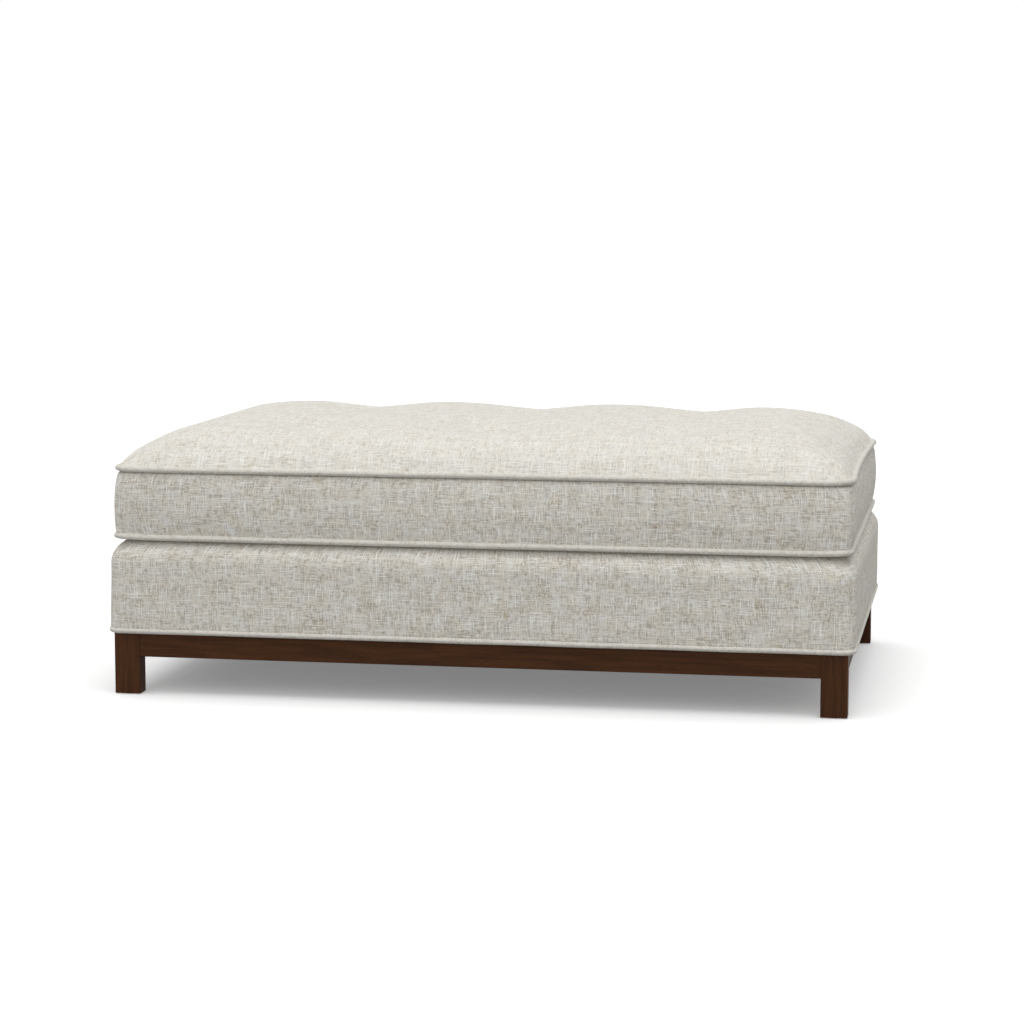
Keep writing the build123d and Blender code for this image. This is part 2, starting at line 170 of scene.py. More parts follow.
# %% Paint
def paint(red, green, blue):
    """A colour as a paint card gives it, from 0 to 255, made linear for the shader."""
    def linear(level):
        share = level / 255
        return share / 12.92 if share <= 0.04045 else ((share + 0.055) / 1.055) ** 2.4
    return (linear(red), linear(green), linear(blue), 1.0)


print("off white", [round(level, 3) for level in paint(223, 221, 214)])


# %% [markdown]
# ## The show fabric
# A linen weave in off white, heathered: its yarns are pale, but thick and thin, cool and warm, and
# here and there a slub of brown fibre is spun into one. Seen from a few metres the single yarns
# blend, and what is left is short strokes along the cloth's two directions. The dark ones among them
# are painted shade between the yarns. Noise that is squeezed one way makes such strokes. Each cloth
# mesh below carries the attribute `thread`, its place on the flat cloth in metres, so the strokes
# follow the cut of each panel, round corners too.

# %% Colours and sizes of the yarns, and of the painted shade between them
cool_yarn = paint(225, 223, 216)
warm_yarn = paint(225, 219, 206)
# The dark strokes are painted shade between the yarns.
painted_shade_between_yarns = paint(180, 174, 162)
bright_yarn = paint(251, 251, 248)
slub_fibre = paint(160, 138, 106)
# A colour of painted shade, laid over the welts' cloth.
painted_welt_shade = paint(177, 171, 159)
bright_share, slub_share = 0.7, 0.5
yarn_pitch, yarn_depth = 0.0013, 0.0005
print("yarns a metre", round(1 / yarn_pitch))


# %% Heathered linen
def linen(name, contrast=1.0, turned=0.0, dim=0.0):
    """The show fabric, with its threads' contrast, their angle and a share of painted shade in its colour.
    """
    cloth = Finish(bpy.data.materials.new(name))
    flat = {"attribute_type": "GEOMETRY", "attribute_name": "thread"}
    place = cloth.node("ShaderNodeAttribute", flat, out="Vector")
    if turned:
        sockets = {"Vector": place, "Angle": turned}
        place = cloth.node("ShaderNodeVectorRotate", {"rotation_type": "Z_AXIS"}, sockets)

    def strokes(across, along, lift):
        """Threads along both directions, from two noises squeezed one way each."""
        upright = cloth.clouds(cloth.stretched(place, across, along, lift), detail=2)
        level = cloth.clouds(cloth.stretched(place, along, across, lift + 3), detail=2)
        return upright, level

    tone = cloth.clouds(place, scale=42, detail=3, rough=0.55)
    warm = cloth.rise(tone, low=0.36, high=0.64)
    colour = cloth.mixed(cool_yarn, warm_yarn, warm * contrast)

    thread_up, thread_level = strokes(across=640, along=75, lift=5)
    dense_up, dense_level = strokes(across=120, along=16, lift=9)
    threads = (thread_up + thread_level) * 0.5
    # dark marks the strokes of painted shade between the yarns, which are also a little rougher.
    dark = cloth.rise(threads + (dense_up + dense_level) * 0.22, low=0.67, high=0.86)
    colour = cloth.mixed(colour, painted_shade_between_yarns, dark * contrast)

    bright_up, bright_level = strokes(across=660, along=26, lift=11)
    pale_from, pale_to = 0.56, 0.66
    bright = cloth.rise(bright_up, pale_from, pale_to) + cloth.rise(bright_level, pale_from, pale_to)
    colour = cloth.mixed(colour, bright_yarn, bright * bright_share * contrast)

    patch = cloth.clouds(place, scale=34, detail=2, rough=0.6) * 0.35
    slub_up, slub_level = strokes(across=480, along=110, lift=17)
    slub_from, slub_to = 0.77, 0.88
    slub = cloth.rise(slub_up + patch, slub_from, slub_to)
    slub += cloth.rise(slub_level + patch, slub_from, slub_to)
    colour = cloth.mixed(colour, slub_fibre, slub * slub_share * contrast)
    # Painted shade, by the share that dim gives.
    colour = cloth.mixed(colour, painted_welt_shade, dim)

    x = cloth.node("ShaderNodeSeparateXYZ", {}, {"Vector": place}, out="X")
    y = cloth.node("ShaderNodeSeparateXYZ", {}, {"Vector": place}, out="Y")
    weave = cloth.wave(x, yarn_pitch) * cloth.wave(y, yarn_pitch)
    height = weave * 0.5 + threads * 1.6 + slub * 0.3
    sheen = {"Sheen Weight": 0.12, "Sheen Roughness": 0.4, "Specular IOR Level": 0.15}
    return cloth.surface(colour, 0.84 + dark * 0.08, cloth.relief(height, yarn_depth, 0.5), sheen)


show_fabric = linen("linen")
# The top's copy of the linen has a calmer weave: painted sheen, standing in for the bright light and sheen
# that wash out its threads at a glance.
top_fabric_painted_sheen = linen("linen_top_painted_sheen", contrast=0.6)
# The welts' copy of the linen is darkened a little by painted shade.
welt_fabric_painted_shade = linen("linen_welt_painted_shade", contrast=0.55, turned=math.radians(45), dim=0.10)
print("linen ready")


# %% [markdown]
# ## Wood
# The leg frame is walnut, stained dark under a thin satin coat. Its grain is long strokes down each
# piece with a slow wave, and short dark pores in them. The boards inside are bare softwood with wide
# pale grain. Wood is solid, so its figure is taken from the place in space, drawn out along the
# piece, and there is one finish for each direction of the grain.

# %% Wood, for each way that the grain runs
def wood(name, across, tones, rough, fixed):
    """across is 1 for the two axes that the grain runs across, and 0 for the one along it. The
    tones are those of the dark and the pale grain, of its streaks and of its pores."""
    dark, pale, streak, pore_tone = tones
    timber = Finish(bpy.data.materials.new(name))
    place = timber.node("ShaderNodeTexCoord", {}, {}, out="Object")
    slow = timber.clouds(timber.stretched(place, *(5 + 6 * share for share in across)))
    bend = {0: slow, 1: (0.02, 0.02, 0.02), 2: place}
    swayed = timber.node("ShaderNodeVectorMath", {"operation": "MULTIPLY_ADD"}, bend)

    def grain(along, added, detail):
        """A noise of so many steps a metre along the grain, with more added across it."""
        steps = [along + added * share for share in across]
        return timber.clouds(timber.stretched(swayed, *steps), detail=detail)

    fine = grain(along=22, added=900, detail=3)
    pore = timber.rise(grain(along=60, added=1500, detail=1), low=0.60, high=0.72)
    figure = timber.rise(grain(along=7, added=143, detail=5), low=0.34, high=0.68)
    colour = timber.mixed(dark, pale, figure)
    colour = timber.mixed(colour, streak, timber.rise(fine, low=0.52, high=0.76) * 0.35)
    colour = timber.mixed(colour, pore_tone, pore * 0.6)
    height = fine * 0.5 + (1 - pore) * 0.5
    return timber.surface(colour, rough + fine * 0.14, timber.relief(height, 0.0003, 0.4), fixed)


def walnut(name, across):
    tones = paint(60, 36, 19), paint(76, 46, 25), paint(90, 58, 33), paint(34, 19, 9)
    satin = {"Coat Weight": 0.015, "Coat Roughness": 0.3, "Specular IOR Level": 0.09}
    return wood(name, across, tones, 0.5, satin)


def softwood(name, across):
    tones = paint(205, 174, 130), paint(225, 200, 160), paint(190, 150, 104), paint(176, 138, 96)
    bare = {"Specular IOR Level": 0.3}
    return wood(name, across, tones, 0.6, bare)


grain_ways = {"upright": (1, 1, 0), "long": (0, 1, 1), "short": (1, 0, 1)}
dark_wood = {way: walnut("walnut_" + way, across) for way, across in grain_ways.items()}
bare_wood = {way: softwood("softwood_" + way, across) for way, across in grain_ways.items()}


# %% Dress the wooden pieces
def dress(material, *names):
    """Give finished shapes of the frame their material."""
    for name in names:
        nodes[name].data.materials[0] = material


dress(dark_wood["upright"], "leg_front_left", "leg_front_right", "leg_back_left", "leg_back_right")
dress(dark_wood["long"], "rail_front", "rail_back")
dress(dark_wood["short"], "rail_left", "rail_right")
dress(bare_wood["upright"], "box_corner_posts")
dress(bare_wood["long"], "box_board_front", "box_board_back", "leg_corner_blocks", "rail_dowels")
dress(bare_wood["short"], "box_board_left", "box_board_right", "box_stretchers")
print("wood ready")


# %% [markdown]
# ## Webbing, felt and hardware
# What lies inside or underneath is seldom seen, but it is real. Elastic webbing has ribs along its
# strips, felt and dust cloth are fibres without order, the screws are zinc plated and dull, and the
# glides are moulded. Each is one noise with its own scale, colours and depth.

# %% Plain finishes of the hidden pieces
def plain(name, dark, pale, scales, rough, depth, fixed):
    """One material from a noise that is squeezed by scales, with relief to match."""
    finish = Finish(bpy.data.materials.new(name))
    place = finish.node("ShaderNodeTexCoord", {}, {}, out="Object")
    fleck = finish.clouds(finish.stretched(place, *scales), detail=3, rough=0.6)
    colour = finish.mixed(paint(*dark), paint(*pale), finish.rise(fleck, low=0.36, high=0.64))
    return finish.surface(colour, rough + fleck * 0.15, finish.relief(fleck, depth, 0.6), fixed)


dull = {"Specular IOR Level": 0.2}
moulded = {"Specular IOR Level": 0.45}
plated = {"Metallic": 1.0}
strap = (96, 74, 52), (128, 102, 76)
cross_strap = plain("webbing_cross", *strap, (900, 40, 300), 0.8, 0.0006, dull)
long_strap = plain("webbing_long", *strap, (40, 900, 300), 0.8, 0.0006, dull)
felt = plain("felt", (140, 134, 130), (176, 170, 166), (260, 260, 260), 0.85, 0.0008, dull)
twine = plain("twine", (206, 196, 172), (232, 224, 204), (1800, 1800, 500), 0.7, 0.0002, dull)
disc = plain("anchor_plastic", (226, 222, 214), (236, 233, 226), (90, 90, 90), 0.4, 0.0001, moulded)
nylon = plain("glide_nylon", (70, 64, 58), (86, 80, 73), (160, 160, 160), 0.5, 0.0002, moulded)
steel = plain("screw_steel", (178, 178, 174), (206, 206, 202), (700, 700, 120), 0.35, 0.0001, plated)
dust_fabric = plain("dust_fabric", (30, 30, 31), (56, 56, 57), (700, 700, 50), 0.85, 0.0004, dull)
deck_fabric = plain("deck_fabric", (196, 190, 176), (216, 211, 198), (800, 800, 90), 0.85, 0.0004, dull)
sewing = plain("stitch_thread", (216, 211, 200), (236, 232, 222), (2500, 2500, 2500), 0.7, 0.0001, dull)

dress(cross_strap, "webbing_cross_strips")
dress(long_strap, "webbing_long_strips")
dress(felt, "deck_insulator")
dress(twine, "tuft_twines")
dress(disc, "tuft_anchors")
dress(nylon, "leg_glides")
dress(steel, "corner_block_screws", "mounting_screws", "mounting_washers")
print("hidden finishes ready")

# %% [markdown]
# ## The camera
# The camera was solved from the corners of the legs, welts and box in the photograph: nearly five
# metres away with a long lens, seven degrees above level and ten degrees round to the right.

# %% Place the camera
standpoint = (0.8696, -4.7644, 0.8748)
looks_down, turned_left = 0.12177, 0.18107
camera = bpy.data.objects.new("camera", bpy.data.cameras.new("camera"))
camera.data.lens = 95.0
camera.data.sensor_width = 36.0
camera.data.clip_end = 200
camera.location = standpoint
camera.rotation_euler = (math.pi / 2 - looks_down, 0, turned_left)
scene.collection.objects.link(camera)
scene.camera = camera
scene.view_settings.view_transform = "Standard"
print("camera looks down by", round(math.degrees(looks_down), 1), "degrees")

# %% [markdown]
# ## The studio
# The photograph has a seamless white ground with only the soft shadow of the piece on it. A wide
# floor takes that shadow, and a little glow of its own keeps the rest of it white where the camera
# sees it. Other rays meet a darker floor, so that it doesn't light the piece from below. Most of the
# light comes from an even sky, so that creases fade softly into the dark. A large lamp above makes
# the top brightest, and a weak one in front lifts the front above the right end.

# %% What the floor and sky show, and what light they give
floor_reach = 60.0
floor_paint, floor_glow, floor_bounce = 0.9, 0.20, 0.28
sky_light, sky_shown = 0.62, 1.0


def grey(level):
    return (level, level, level, 1.0)


def seen_directly(finish):
    """1 for a ray that shows the background itself: to the camera, in a gloss or through glass."""
    direct = finish.node("ShaderNodeLightPath", {}, {}, out="Is Camera Ray")
    for ray in ("Is Glossy Ray", "Is Transmission Ray"):
        other = finish.node("ShaderNodeLightPath", {}, {}, out=ray)
        direct = finish.node("ShaderNodeMath", {"operation": "MAXIMUM"}, {0: direct, 1: other})
    return direct


# %% Floor
floor_mesh = bpy.data.meshes.new("floor")
floor_corners = [(x * floor_reach, y * floor_reach, 0) for x, y in ((-1, -1), (1, -1), (1, 1), (-1, 1))]
floor_mesh.from_pydata(floor_corners, [], [(0, 1, 2, 3)])
floor = bpy.data.objects.new("floor", floor_mesh)
scene.collection.objects.link(floor)

ground = Finish(bpy.data.materials.new("studio_floor"))
direct = seen_directly(ground)
shaded = ground.node("ShaderNodeBsdfDiffuse", {}, {"Color": grey(floor_paint)})
glow = ground.node("ShaderNodeEmission", {}, {"Color": grey(1.0), "Strength": floor_glow})
seen = ground.node("ShaderNodeAddShader", {}, {0: shaded, 1: glow})
bounced = ground.node("ShaderNodeBsdfDiffuse", {}, {"Color": grey(floor_bounce)})
floor_mix = ground.node("ShaderNodeMixShader", {}, {0: direct, 1: bounced, 2: seen})
ground.node("ShaderNodeOutputMaterial", {}, {"Surface": floor_mix})
floor_mesh.materials.append(ground.holder)

# %% Sky
scene.world = bpy.data.worlds.new("studio")
sky = Finish(scene.world)
lit = sky.node("ShaderNodeBackground", {}, {"Color": grey(1.0), "Strength": sky_light})
backdrop = sky.node("ShaderNodeBackground", {}, {"Color": grey(1.0), "Strength": sky_shown})
sky_mix = sky.node("ShaderNodeMixShader", {}, {0: seen_directly(sky), 1: lit, 2: backdrop})
sky.node("ShaderNodeOutputWorld", {}, {"Surface": sky_mix})


# %% Lamps
def soft_lamp(name, strength, softness, lean):
    """A far lamp in front of the piece, which leans from straight above by some degrees."""
    lamp = bpy.data.objects.new(name, bpy.data.lights.new(name, "SUN"))
    lamp.data.energy = strength
    lamp.data.angle = math.radians(softness)
    lamp.rotation_euler = (math.radians(lean), 0, 0)
    scene.collection.objects.link(lamp)


soft_lamp("lamp_above", strength=1.30, softness=60, lean=6)
soft_lamp("lamp_front", strength=0.60, softness=50, lean=65)
print("studio ready")


# %% [markdown]
# ## Rings of cloth
# The padded box, the cushion and the welts all follow the same rounded rectangle. A ring starts as a
# square-cornered one, with its points close together near the corners, and its corners are then bent
# round. All rings of a piece have the same number of points, so quads can skin them. A ring starts
# in the middle of the back, where a real strip of cloth is joined too.

# %% Points along a side
edge_reach, edge_steps, edge_crowding = 0.0255, 8, 1.6


def ticks(half, step):
    """Places from one side to the other, closer together near both."""
    edge = edge_reach * (np.arange(edge_steps) / edge_steps) ** edge_crowding
    inner = half - edge_reach
    middle = np.linspace(-inner, inner, 2 * round(inner / step) + 1)
    return np.concatenate([edge - half, middle, (half - edge)[::-1]])


print("ticks on half a metre", len(ticks(0.25, 0.01)))


# %% Points on a rounded rectangle
def bent(x, y, half_x, half_y, corner):
    """Points of a square-cornered ring, carried onto the ring with rounded corners."""
    px, py = np.abs(x), np.abs(y)
    past_x, past_y = px - (half_x - corner), py - (half_y - corner)
    on_end = half_x - px < half_y - py
    angle = math.radians(45) * np.where(on_end, past_y, 2 * corner - past_x) / corner
    turning = (past_x > 0) & (past_y > 0)
    px = np.where(turning, half_x - corner + corner * np.cos(angle), px)
    py = np.where(turning, half_y - corner + corner * np.sin(angle), py)
    return np.copysign(px, x), np.copysign(py, y)


def way_round(half_x, half_y, step):
    """The square ring's points as shares of its half sizes, clockwise seen from above."""
    xs, ys = ticks(half_x, step) / half_x, ticks(half_y, step) / half_y
    front = [(x, -1.0) for x in xs[::-1]]
    left = [(-1.0, y) for y in ys[1:]]
    back = [(x, 1.0) for x in xs[1:]]
    right = [(1.0, y) for y in ys[::-1][1:-1]]
    around = front + left + back + right
    start = min(range(len(around)), key=lambda k: math.hypot(around[k][0], around[k][1] - 1.0))
    return np.array(around[start:] + around[:start + 1])


def ring(shares, half_x, half_y, corner):
    """A ring's points, with the direction that points out of it at each."""
    x, y = bent(shares[:, 0] * half_x, shares[:, 1] * half_y, half_x, half_y, corner)
    ahead_x, ahead_y = (np.roll(values[:-1], -1) - np.roll(values[:-1], 1) for values in (x, y))
    length = np.hypot(ahead_x, ahead_y)
    out = np.column_stack([-ahead_y / length, ahead_x / length])
    return np.column_stack([x, y]), np.vstack([out, out[:1]])


def walked(points):
    """Length of the way along the points up to each of them."""
    return np.concatenate([[0], np.cumsum(np.linalg.norm(np.diff(points, axis=0), axis=1))])


cushion_way = way_round(seam_x, seam_y, step=0.009)
cover_way = way_round(cover_x, cover_y, step=0.008)
welt_way = way_round(seam_x, seam_y, step=0.005)
print("points round the cushion, cover and welts", len(cushion_way), len(cover_way), len(welt_way))


# %% [markdown]
# A piece of cloth is rows of points with quads between them, and one object may hold several such
# parts whose edges lie on each other in a seam. Besides its points it keeps the flat cloth's
# coordinates for the weave. It is smooth shaded, rides on a body of the frame, and hides the nodes
# of the frame that it stands for.

# %% From rows of points to a piece of cloth
def quads(rows, columns):
    return [(a, a + 1, a + columns + 1, a + columns)
            for row in range(rows - 1) for a in range(row * columns, row * columns + columns - 1)]


def flipped(part):
    """The same part with its faces turned over."""
    points, faces, threads = part
    return points, [face[::-1] for face in faces], threads


def piece(name, parts, material, body, stands_for=()):
    """One object from parts, each with its points, faces and places on the flat cloth."""
    points, faces, threads = [], [], []
    for part_points, part_faces, part_threads in parts:
        first = sum(len(some) for some in points)
        points.append(part_points)
        threads.append(part_threads)
        faces += [tuple(first + corner for corner in face) for face in part_faces]
    mesh = bpy.data.meshes.new(name)
    mesh.from_pydata(np.concatenate(points).tolist(), [], faces)
    attribute = mesh.attributes.new("thread", "FLOAT_VECTOR", "POINT")
    attribute.data.foreach_set("vector", np.concatenate(threads).astype(np.float32).ravel())
    mesh.shade_smooth()
    mesh.materials.append(material)
    made = bpy.data.objects.new(name, mesh)
    scene.collection.objects.link(made)
    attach(made, body)
    if stands_for:
        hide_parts(*stands_for)
    print(name, len(mesh.vertices), "points")
    return made


# %% A band carried round a ring
gather_reach = 0.012


def wander(points, seed, size):
    """Slow random variation between -1 and 1 at each point, the same on every run."""
    shift = Vector((seed, 2 * seed, 3 * seed))
    return np.array([noise.noise(Vector(point) / size + shift) for point in points])


def gathers(along, z, from_seam, depth, pitch, seed):
    """Small folds where cloth is sewn into a welt, which fade out away from it."""
    strip = np.column_stack([along, 0 * along, 0 * along + z])
    return depth * math.exp(-from_seam / gather_reach) * wander(strip, seed, pitch)


def band(shares, half_x, half_y, rows, stray, shift=0.0):
    """Cloth carried round a ring. A row gives how far it stands out, its height and its corner
    radius, stray moves a row's points outwards, and shift is where its strip was cut."""
    profile = np.array([(out, z) for out, z, corner in rows])
    climbed = walked(profile)
    middle, _ = ring(shares, half_x, half_y, rows[len(rows) // 2][2])
    along = walked(middle) + shift
    points, threads = [], []
    for (out, z, corner), up in zip(rows, climbed):
        flat, outward = ring(shares, half_x + out, half_y + out, corner)
        row = np.column_stack([flat, np.full(len(flat), z)])
        row[:, :2] += outward * stray(row, z, along)[:, None]
        points.append(row)
        threads.append(np.column_stack([-along, np.full(len(flat), up), np.zeros(len(flat))]))
    return np.concatenate(points), quads(len(rows), len(shares)), np.concatenate(threads)


# %% [markdown]
# ## The padded box
# Cloth is wrapped from under the boards, up the sides, over a rolled shoulder of foam and onto the
# deck, where a border of it meets the plainer deck cloth. In profile that is one line, so the piece
# is that line carried round a ring. It stands out a little between welt and shoulder, and its
# stitches at the welt leave shallow gathers.

# %% Profile of the cover
shoulder = 0.041
cover_swell = 0.0030
cover_corner, corner_rounding, corner_growth = 0.022, 0.010, 0.55
window_corner, least_corner = 0.012, 0.004
welt_gap, board_gap = 0.0025, 0.0004
wall_rows, shoulder_rows, border_rows = 22, 13, 9
shoulder_foot = deck - shoulder
wall_foot = base_seam + welt_gap
under_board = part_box("box_board_front")[0].z - board_gap
border_end = cover_x - deck_window[1].x
hem_depth, hem_reach, hem_fold = 0.0012, 0.006, 0.0005


def cover_rows():
    """Rows from under the boards to the hem, each with how far out it is, its height and corner."""
    turned_under = [(-0.0225, 0.0), (-0.0160, 0.0), (-0.0110, 0.0005),
                    (-0.0070, 0.0018), (-0.0040, 0.0038)]
    rows = [(out, under_board + rise, max(least_corner, cover_corner + out)) for out, rise in turned_under]
    for climb in np.linspace(0, 1, wall_rows):
        swell = cover_swell * min(1.0, 0.75 + climb)
        corner = cover_corner + swell + corner_rounding * math.sin(math.pi / 2 * climb)
        rows.append((swell, wall_foot + climb * (shoulder_foot - wall_foot), corner))
    for angle in np.radians(np.linspace(0, 90, shoulder_rows)[1:]):
        pull = shoulder * (1 - math.cos(angle))
        corner = cover_corner + cover_swell + corner_rounding + corner_growth * pull
        rows.append((cover_swell - pull, shoulder_foot + shoulder * math.sin(angle), corner))
    round_corner = rows[-1][2]
    for share in np.linspace(0, 1, border_rows)[1:]:
        out = cover_swell - shoulder - share * (border_end + cover_swell - shoulder)
        rows.append((out, deck, round_corner * (1 - share) + window_corner * share))
    rows.append((-border_end - hem_fold, deck - 0.5 * hem_depth, window_corner))
    rows.append((-border_end + hem_reach, deck - hem_depth, window_corner))
    return rows


print("cover rows", len(cover_rows()))


# %% Cover of the box
def cover_stray(row, z, along):
    """Gathers close to the welt, over slow waves of the filling."""
    if z < base_seam or z > deck - on_line:
        return np.zeros(len(row))
    folds = gathers(along, 0.0, z - base_seam, depth=0.0006, pitch=0.014, seed=5.5)
    return folds + 0.0009 * wander(row, seed=3.1, size=0.16) + 0.0004 * wander(row, seed=8.7, size=0.05)


cover_part = band(cover_way, cover_x, cover_y, cover_rows(), cover_stray)
side_pads = ["side_pad_" + side for side in ("front", "back", "left", "right")]
box_cover = piece("box_cover_cloth", [cover_part], show_fabric, "base",
                  ["base_cover", "deck_foam", *side_pads])


# %% [markdown]
# ## Two plain sheets
# The deck under the cushion is cotton cloth, cheaper than the show fabric and never seen. It is
# stretched over the foam and top-stitched under the border of the cover. Below the box a black dust
# cloth is stapled. Both are grids that sag or swell by a millimetre or two, as stretched cloth does.

# %% Deck cloth and dust cloth
sheet_fade, ripple, ripple_size = 0.12, 0.0006, 0.12


def sheet_part(half_x, half_y, z, belly, seed, step=0.02):
    """A stretched sheet's points, whose middle stands off by belly."""
    xs = np.linspace(-half_x, half_x, 2 * round(half_x / step) + 1)
    ys = np.linspace(-half_y, half_y, 2 * round(half_y / step) + 1)
    x, y = (values.ravel() for values in np.meshgrid(xs, ys))
    edge = np.clip(np.minimum(half_x - np.abs(x), half_y - np.abs(y)) / sheet_fade, 0, 1)
    points = np.column_stack([x, y, np.full(len(x), z)])
    points[:, 2] += edge * (belly + ripple * wander(points, seed, ripple_size))
    return points, quads(len(ys), len(xs)), np.column_stack([x, y, np.zeros(len(x))])


hem, deck_tuck, dust_gap = 0.008, 0.0008, 0.0003
deck_half_x, deck_half_y = deck_window[1].x + hem, deck_window[1].y + hem
deck_part = sheet_part(deck_half_x, deck_half_y, deck - deck_tuck, belly=-0.0002, seed=4.4)
deck_cloth = piece("deck_cotton", [deck_part], deck_fabric, "base", ["deck_cloth"])

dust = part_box("dust_cover")[1]
dust_part = flipped(sheet_part(dust.x, dust.y, dust.z - dust_gap, belly=-0.0025, seed=7.3))
dust_cloth = piece("dust_cloth", [dust_part], dust_fabric, "base", ["dust_cover"])


# %% [markdown]
# A line of stitches is what shows that the deck cloth is sewn and not printed on. Each stitch is a
# thread of its own, a short tube that comes up out of the cloth, lies on it and dips in again.

# %% Top stitching round the deck cloth
def stitch(start, end, radius, dip):
    """A tube from start to end that dips into the cloth at both."""
    start, end, upwards = Vector(start), Vector(end), Vector((0, 0, 1))
    ahead = (end - start).normalized()
    side = Vector((-ahead.y, ahead.x, 0))
    rings = [(0.0, -dip), (0.18, 0.6 * radius), (0.5, radius), (0.82, 0.6 * radius), (1.0, -dip)]
    sides = 6
    points = []
    for share, lift in rings:
        middle = start.lerp(end, share) + lift * upwards
        for k in range(sides + 1):
            angle = -2 * math.pi * k / sides
            points.append(middle + radius * (math.cos(angle) * side + math.sin(angle) * upwards))
    points = np.array(points)
    return points, quads(len(rings), sides + 1), points


stitch_pitch, stitch_length, stitch_inset = 0.0070, 0.0048, 0.003
stitch_radius, stitch_dip = 0.0004, 0.0006
line_x, line_y = deck_window[1].x + stitch_inset, deck_window[1].y + stitch_inset


def starts(half):
    """Where the stitches of a line start, from one end of it to the other."""
    count = round(half / stitch_pitch)
    return [k * stitch_pitch for k in range(-count + 1, count)]


stitches = []
for x in starts(line_x):
    for y in (-line_y, line_y):
        stitches.append(stitch((x, y, deck), (x + stitch_length, y, deck), stitch_radius, stitch_dip))
for y in starts(line_y):
    for x in (-line_x, line_x):
        stitches.append(stitch((x, y, deck), (x, y + stitch_length, deck), stitch_radius, stitch_dip))
piece("deck_top_stitching", stitches, sewing, "base")


# %% [markdown]
# ## Welts
# A welt is a cord wrapped in a bias strip of the same cloth and sewn into a seam. The strip's threads
# run at an angle, so it looks finer. It could be a curve with a round bevel, but a mesh of its own
# rings can wander and swell a little, as a hand-sewn one does, and lift at its corners. The cushion's
# top seam is also drawn in along its sides, and its corners stand out as small ears.

# %% The drawn-in top seam
ear_size, waist_size = 0.0032, 0.0042


def eared(points, share=1.0):
    """The top seam is drawn in between its corners, which stand out a little, by share."""
    ear, waist = ear_size * share, waist_size * share
    across, ahead = points[:, 0] / seam_x, points[:, 1] / seam_y
    end_out = ear * ahead ** 4 - waist * (1 - ahead ** 2) ** 2
    side_out = ear * across ** 12 - waist * (1 - across ** 2) ** 2
    points[:, 0] += np.sign(across) * np.abs(across) ** 6 * end_out
    points[:, 1] += np.sign(ahead) * np.abs(ahead) ** 6 * side_out


# %% Sew a welt round a ring
lift_reach, welt_sag, welt_lumps, welt_sides = 0.07, 0.0004, 0.03, 14


def welt(name, node, corner, body, lift=0.0, drawn=0.0):
    """A welt whose centre runs inside the box of its node. Its corners rise by lift, and it is drawn
    in between them by a share of the top seam's waist."""
    low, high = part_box(node)
    half_x, half_y = high.x - welt_radius, high.y - welt_radius
    flat, outward = ring(welt_way, half_x, half_y, corner - welt_radius)
    centre = np.column_stack([flat, np.full(len(flat), (low.z + high.z) / 2)])
    from_corner = np.hypot(half_x - np.abs(flat[:, 0]), half_y - np.abs(flat[:, 1]))
    near_corner = np.clip(1 - from_corner / lift_reach, 0, 1)
    centre[:, 2] += lift * near_corner ** 2 + welt_sag * wander(centre, seed=1.7, size=0.11)
    lumps = welt_lumps * wander(centre, seed=6.2, size=0.012)
    swells = welt_lumps * wander(centre, seed=9.2, size=0.05)
    thick = welt_radius * (1 + lumps + swells)
    eared(centre, drawn)
    points, threads = [], []
    for k, along in enumerate(walked(flat)):
        for angle in -2 * math.pi * np.arange(welt_sides + 1) / welt_sides:
            out = [*(outward[k] * math.cos(angle)), math.sin(angle)]
            points.append(centre[k] + thick[k] * np.array(out))
            threads.append((along, welt_radius * angle, 0.0))
    part = (np.array(points), quads(len(flat), welt_sides + 1), np.array(threads))
    return piece(name, [part], welt_fabric_painted_shade, body, [node])


welt("base_welt_cloth", "base_welt", corner=0.027, body="base")
welt("cushion_low_welt_cloth", "cushion_bottom_welt", corner=0.028, body="cushion", lift=0.0025)
welt("cushion_top_welt_cloth", "cushion_top_welt", corner=0.052, body="cushion", drawn=1.0)

# %% [markdown]
# ## The cushion
# Three panels of linen make the closed cover: a top, a boxing between the seams and an underside.
# Their edges lie on each other inside the welts, and the cover is one object, so that one pressure
# fills it. The boxing bulges, because the foam is cut a little larger than its cover, and a crease
# runs under the top welt.

# %% Boxing of the cushion
# The boxing is cut less full than its bulge, to leave room for what the filling adds later on.
seam_depth = 0.001
bulge, filling_room = 0.0135, 0.004
crease_depth, crease_share = 0.006, 0.042
wave_fade = 0.02
low_corner, top_corner, corner_bulge = 0.023, 0.047, 0.010
boxing_count, even_share, fullness = 29, 0.45, 0.62


def boxing_rows():
    """Rows from the low seam to the top one, closer together near both."""
    rows = []
    for share in np.linspace(0, 1, boxing_count):
        climb = even_share * share + (1 - even_share) * (1 - math.cos(math.pi * share)) / 2
        arch = (4 * climb * (1 - climb)) ** fullness
        crease = crease_depth * math.exp(-((1 - climb) / crease_share) ** 2)
        corner = low_corner + climb * (top_corner - low_corner) + corner_bulge * arch
        out = -seam_depth + arch * (bulge - filling_room) - crease
        rows.append((out, low_seam + climb * (top_seam - low_seam), corner))
    return rows


def boxing_stray(row, z, along):
    """Gathers close to both seams, and slow waves between them."""
    from_seam = min(z - low_seam, top_seam - z)
    if from_seam < on_line:
        return np.zeros(len(row))
    folds = gathers(along, z, from_seam, depth=0.0007, pitch=0.013, seed=7.9)
    waves = 0.0010 * wander(row, seed=12.3, size=0.14) + 0.0004 * wander(row, seed=2.2, size=0.04)
    return folds + min(1.0, from_seam / wave_fade) * waves


boxing_part = band(cushion_way, seam_x, seam_y, boxing_rows(), boxing_stray, shift=3.0)
print("boxing bulges by", bulge, "with its filling")


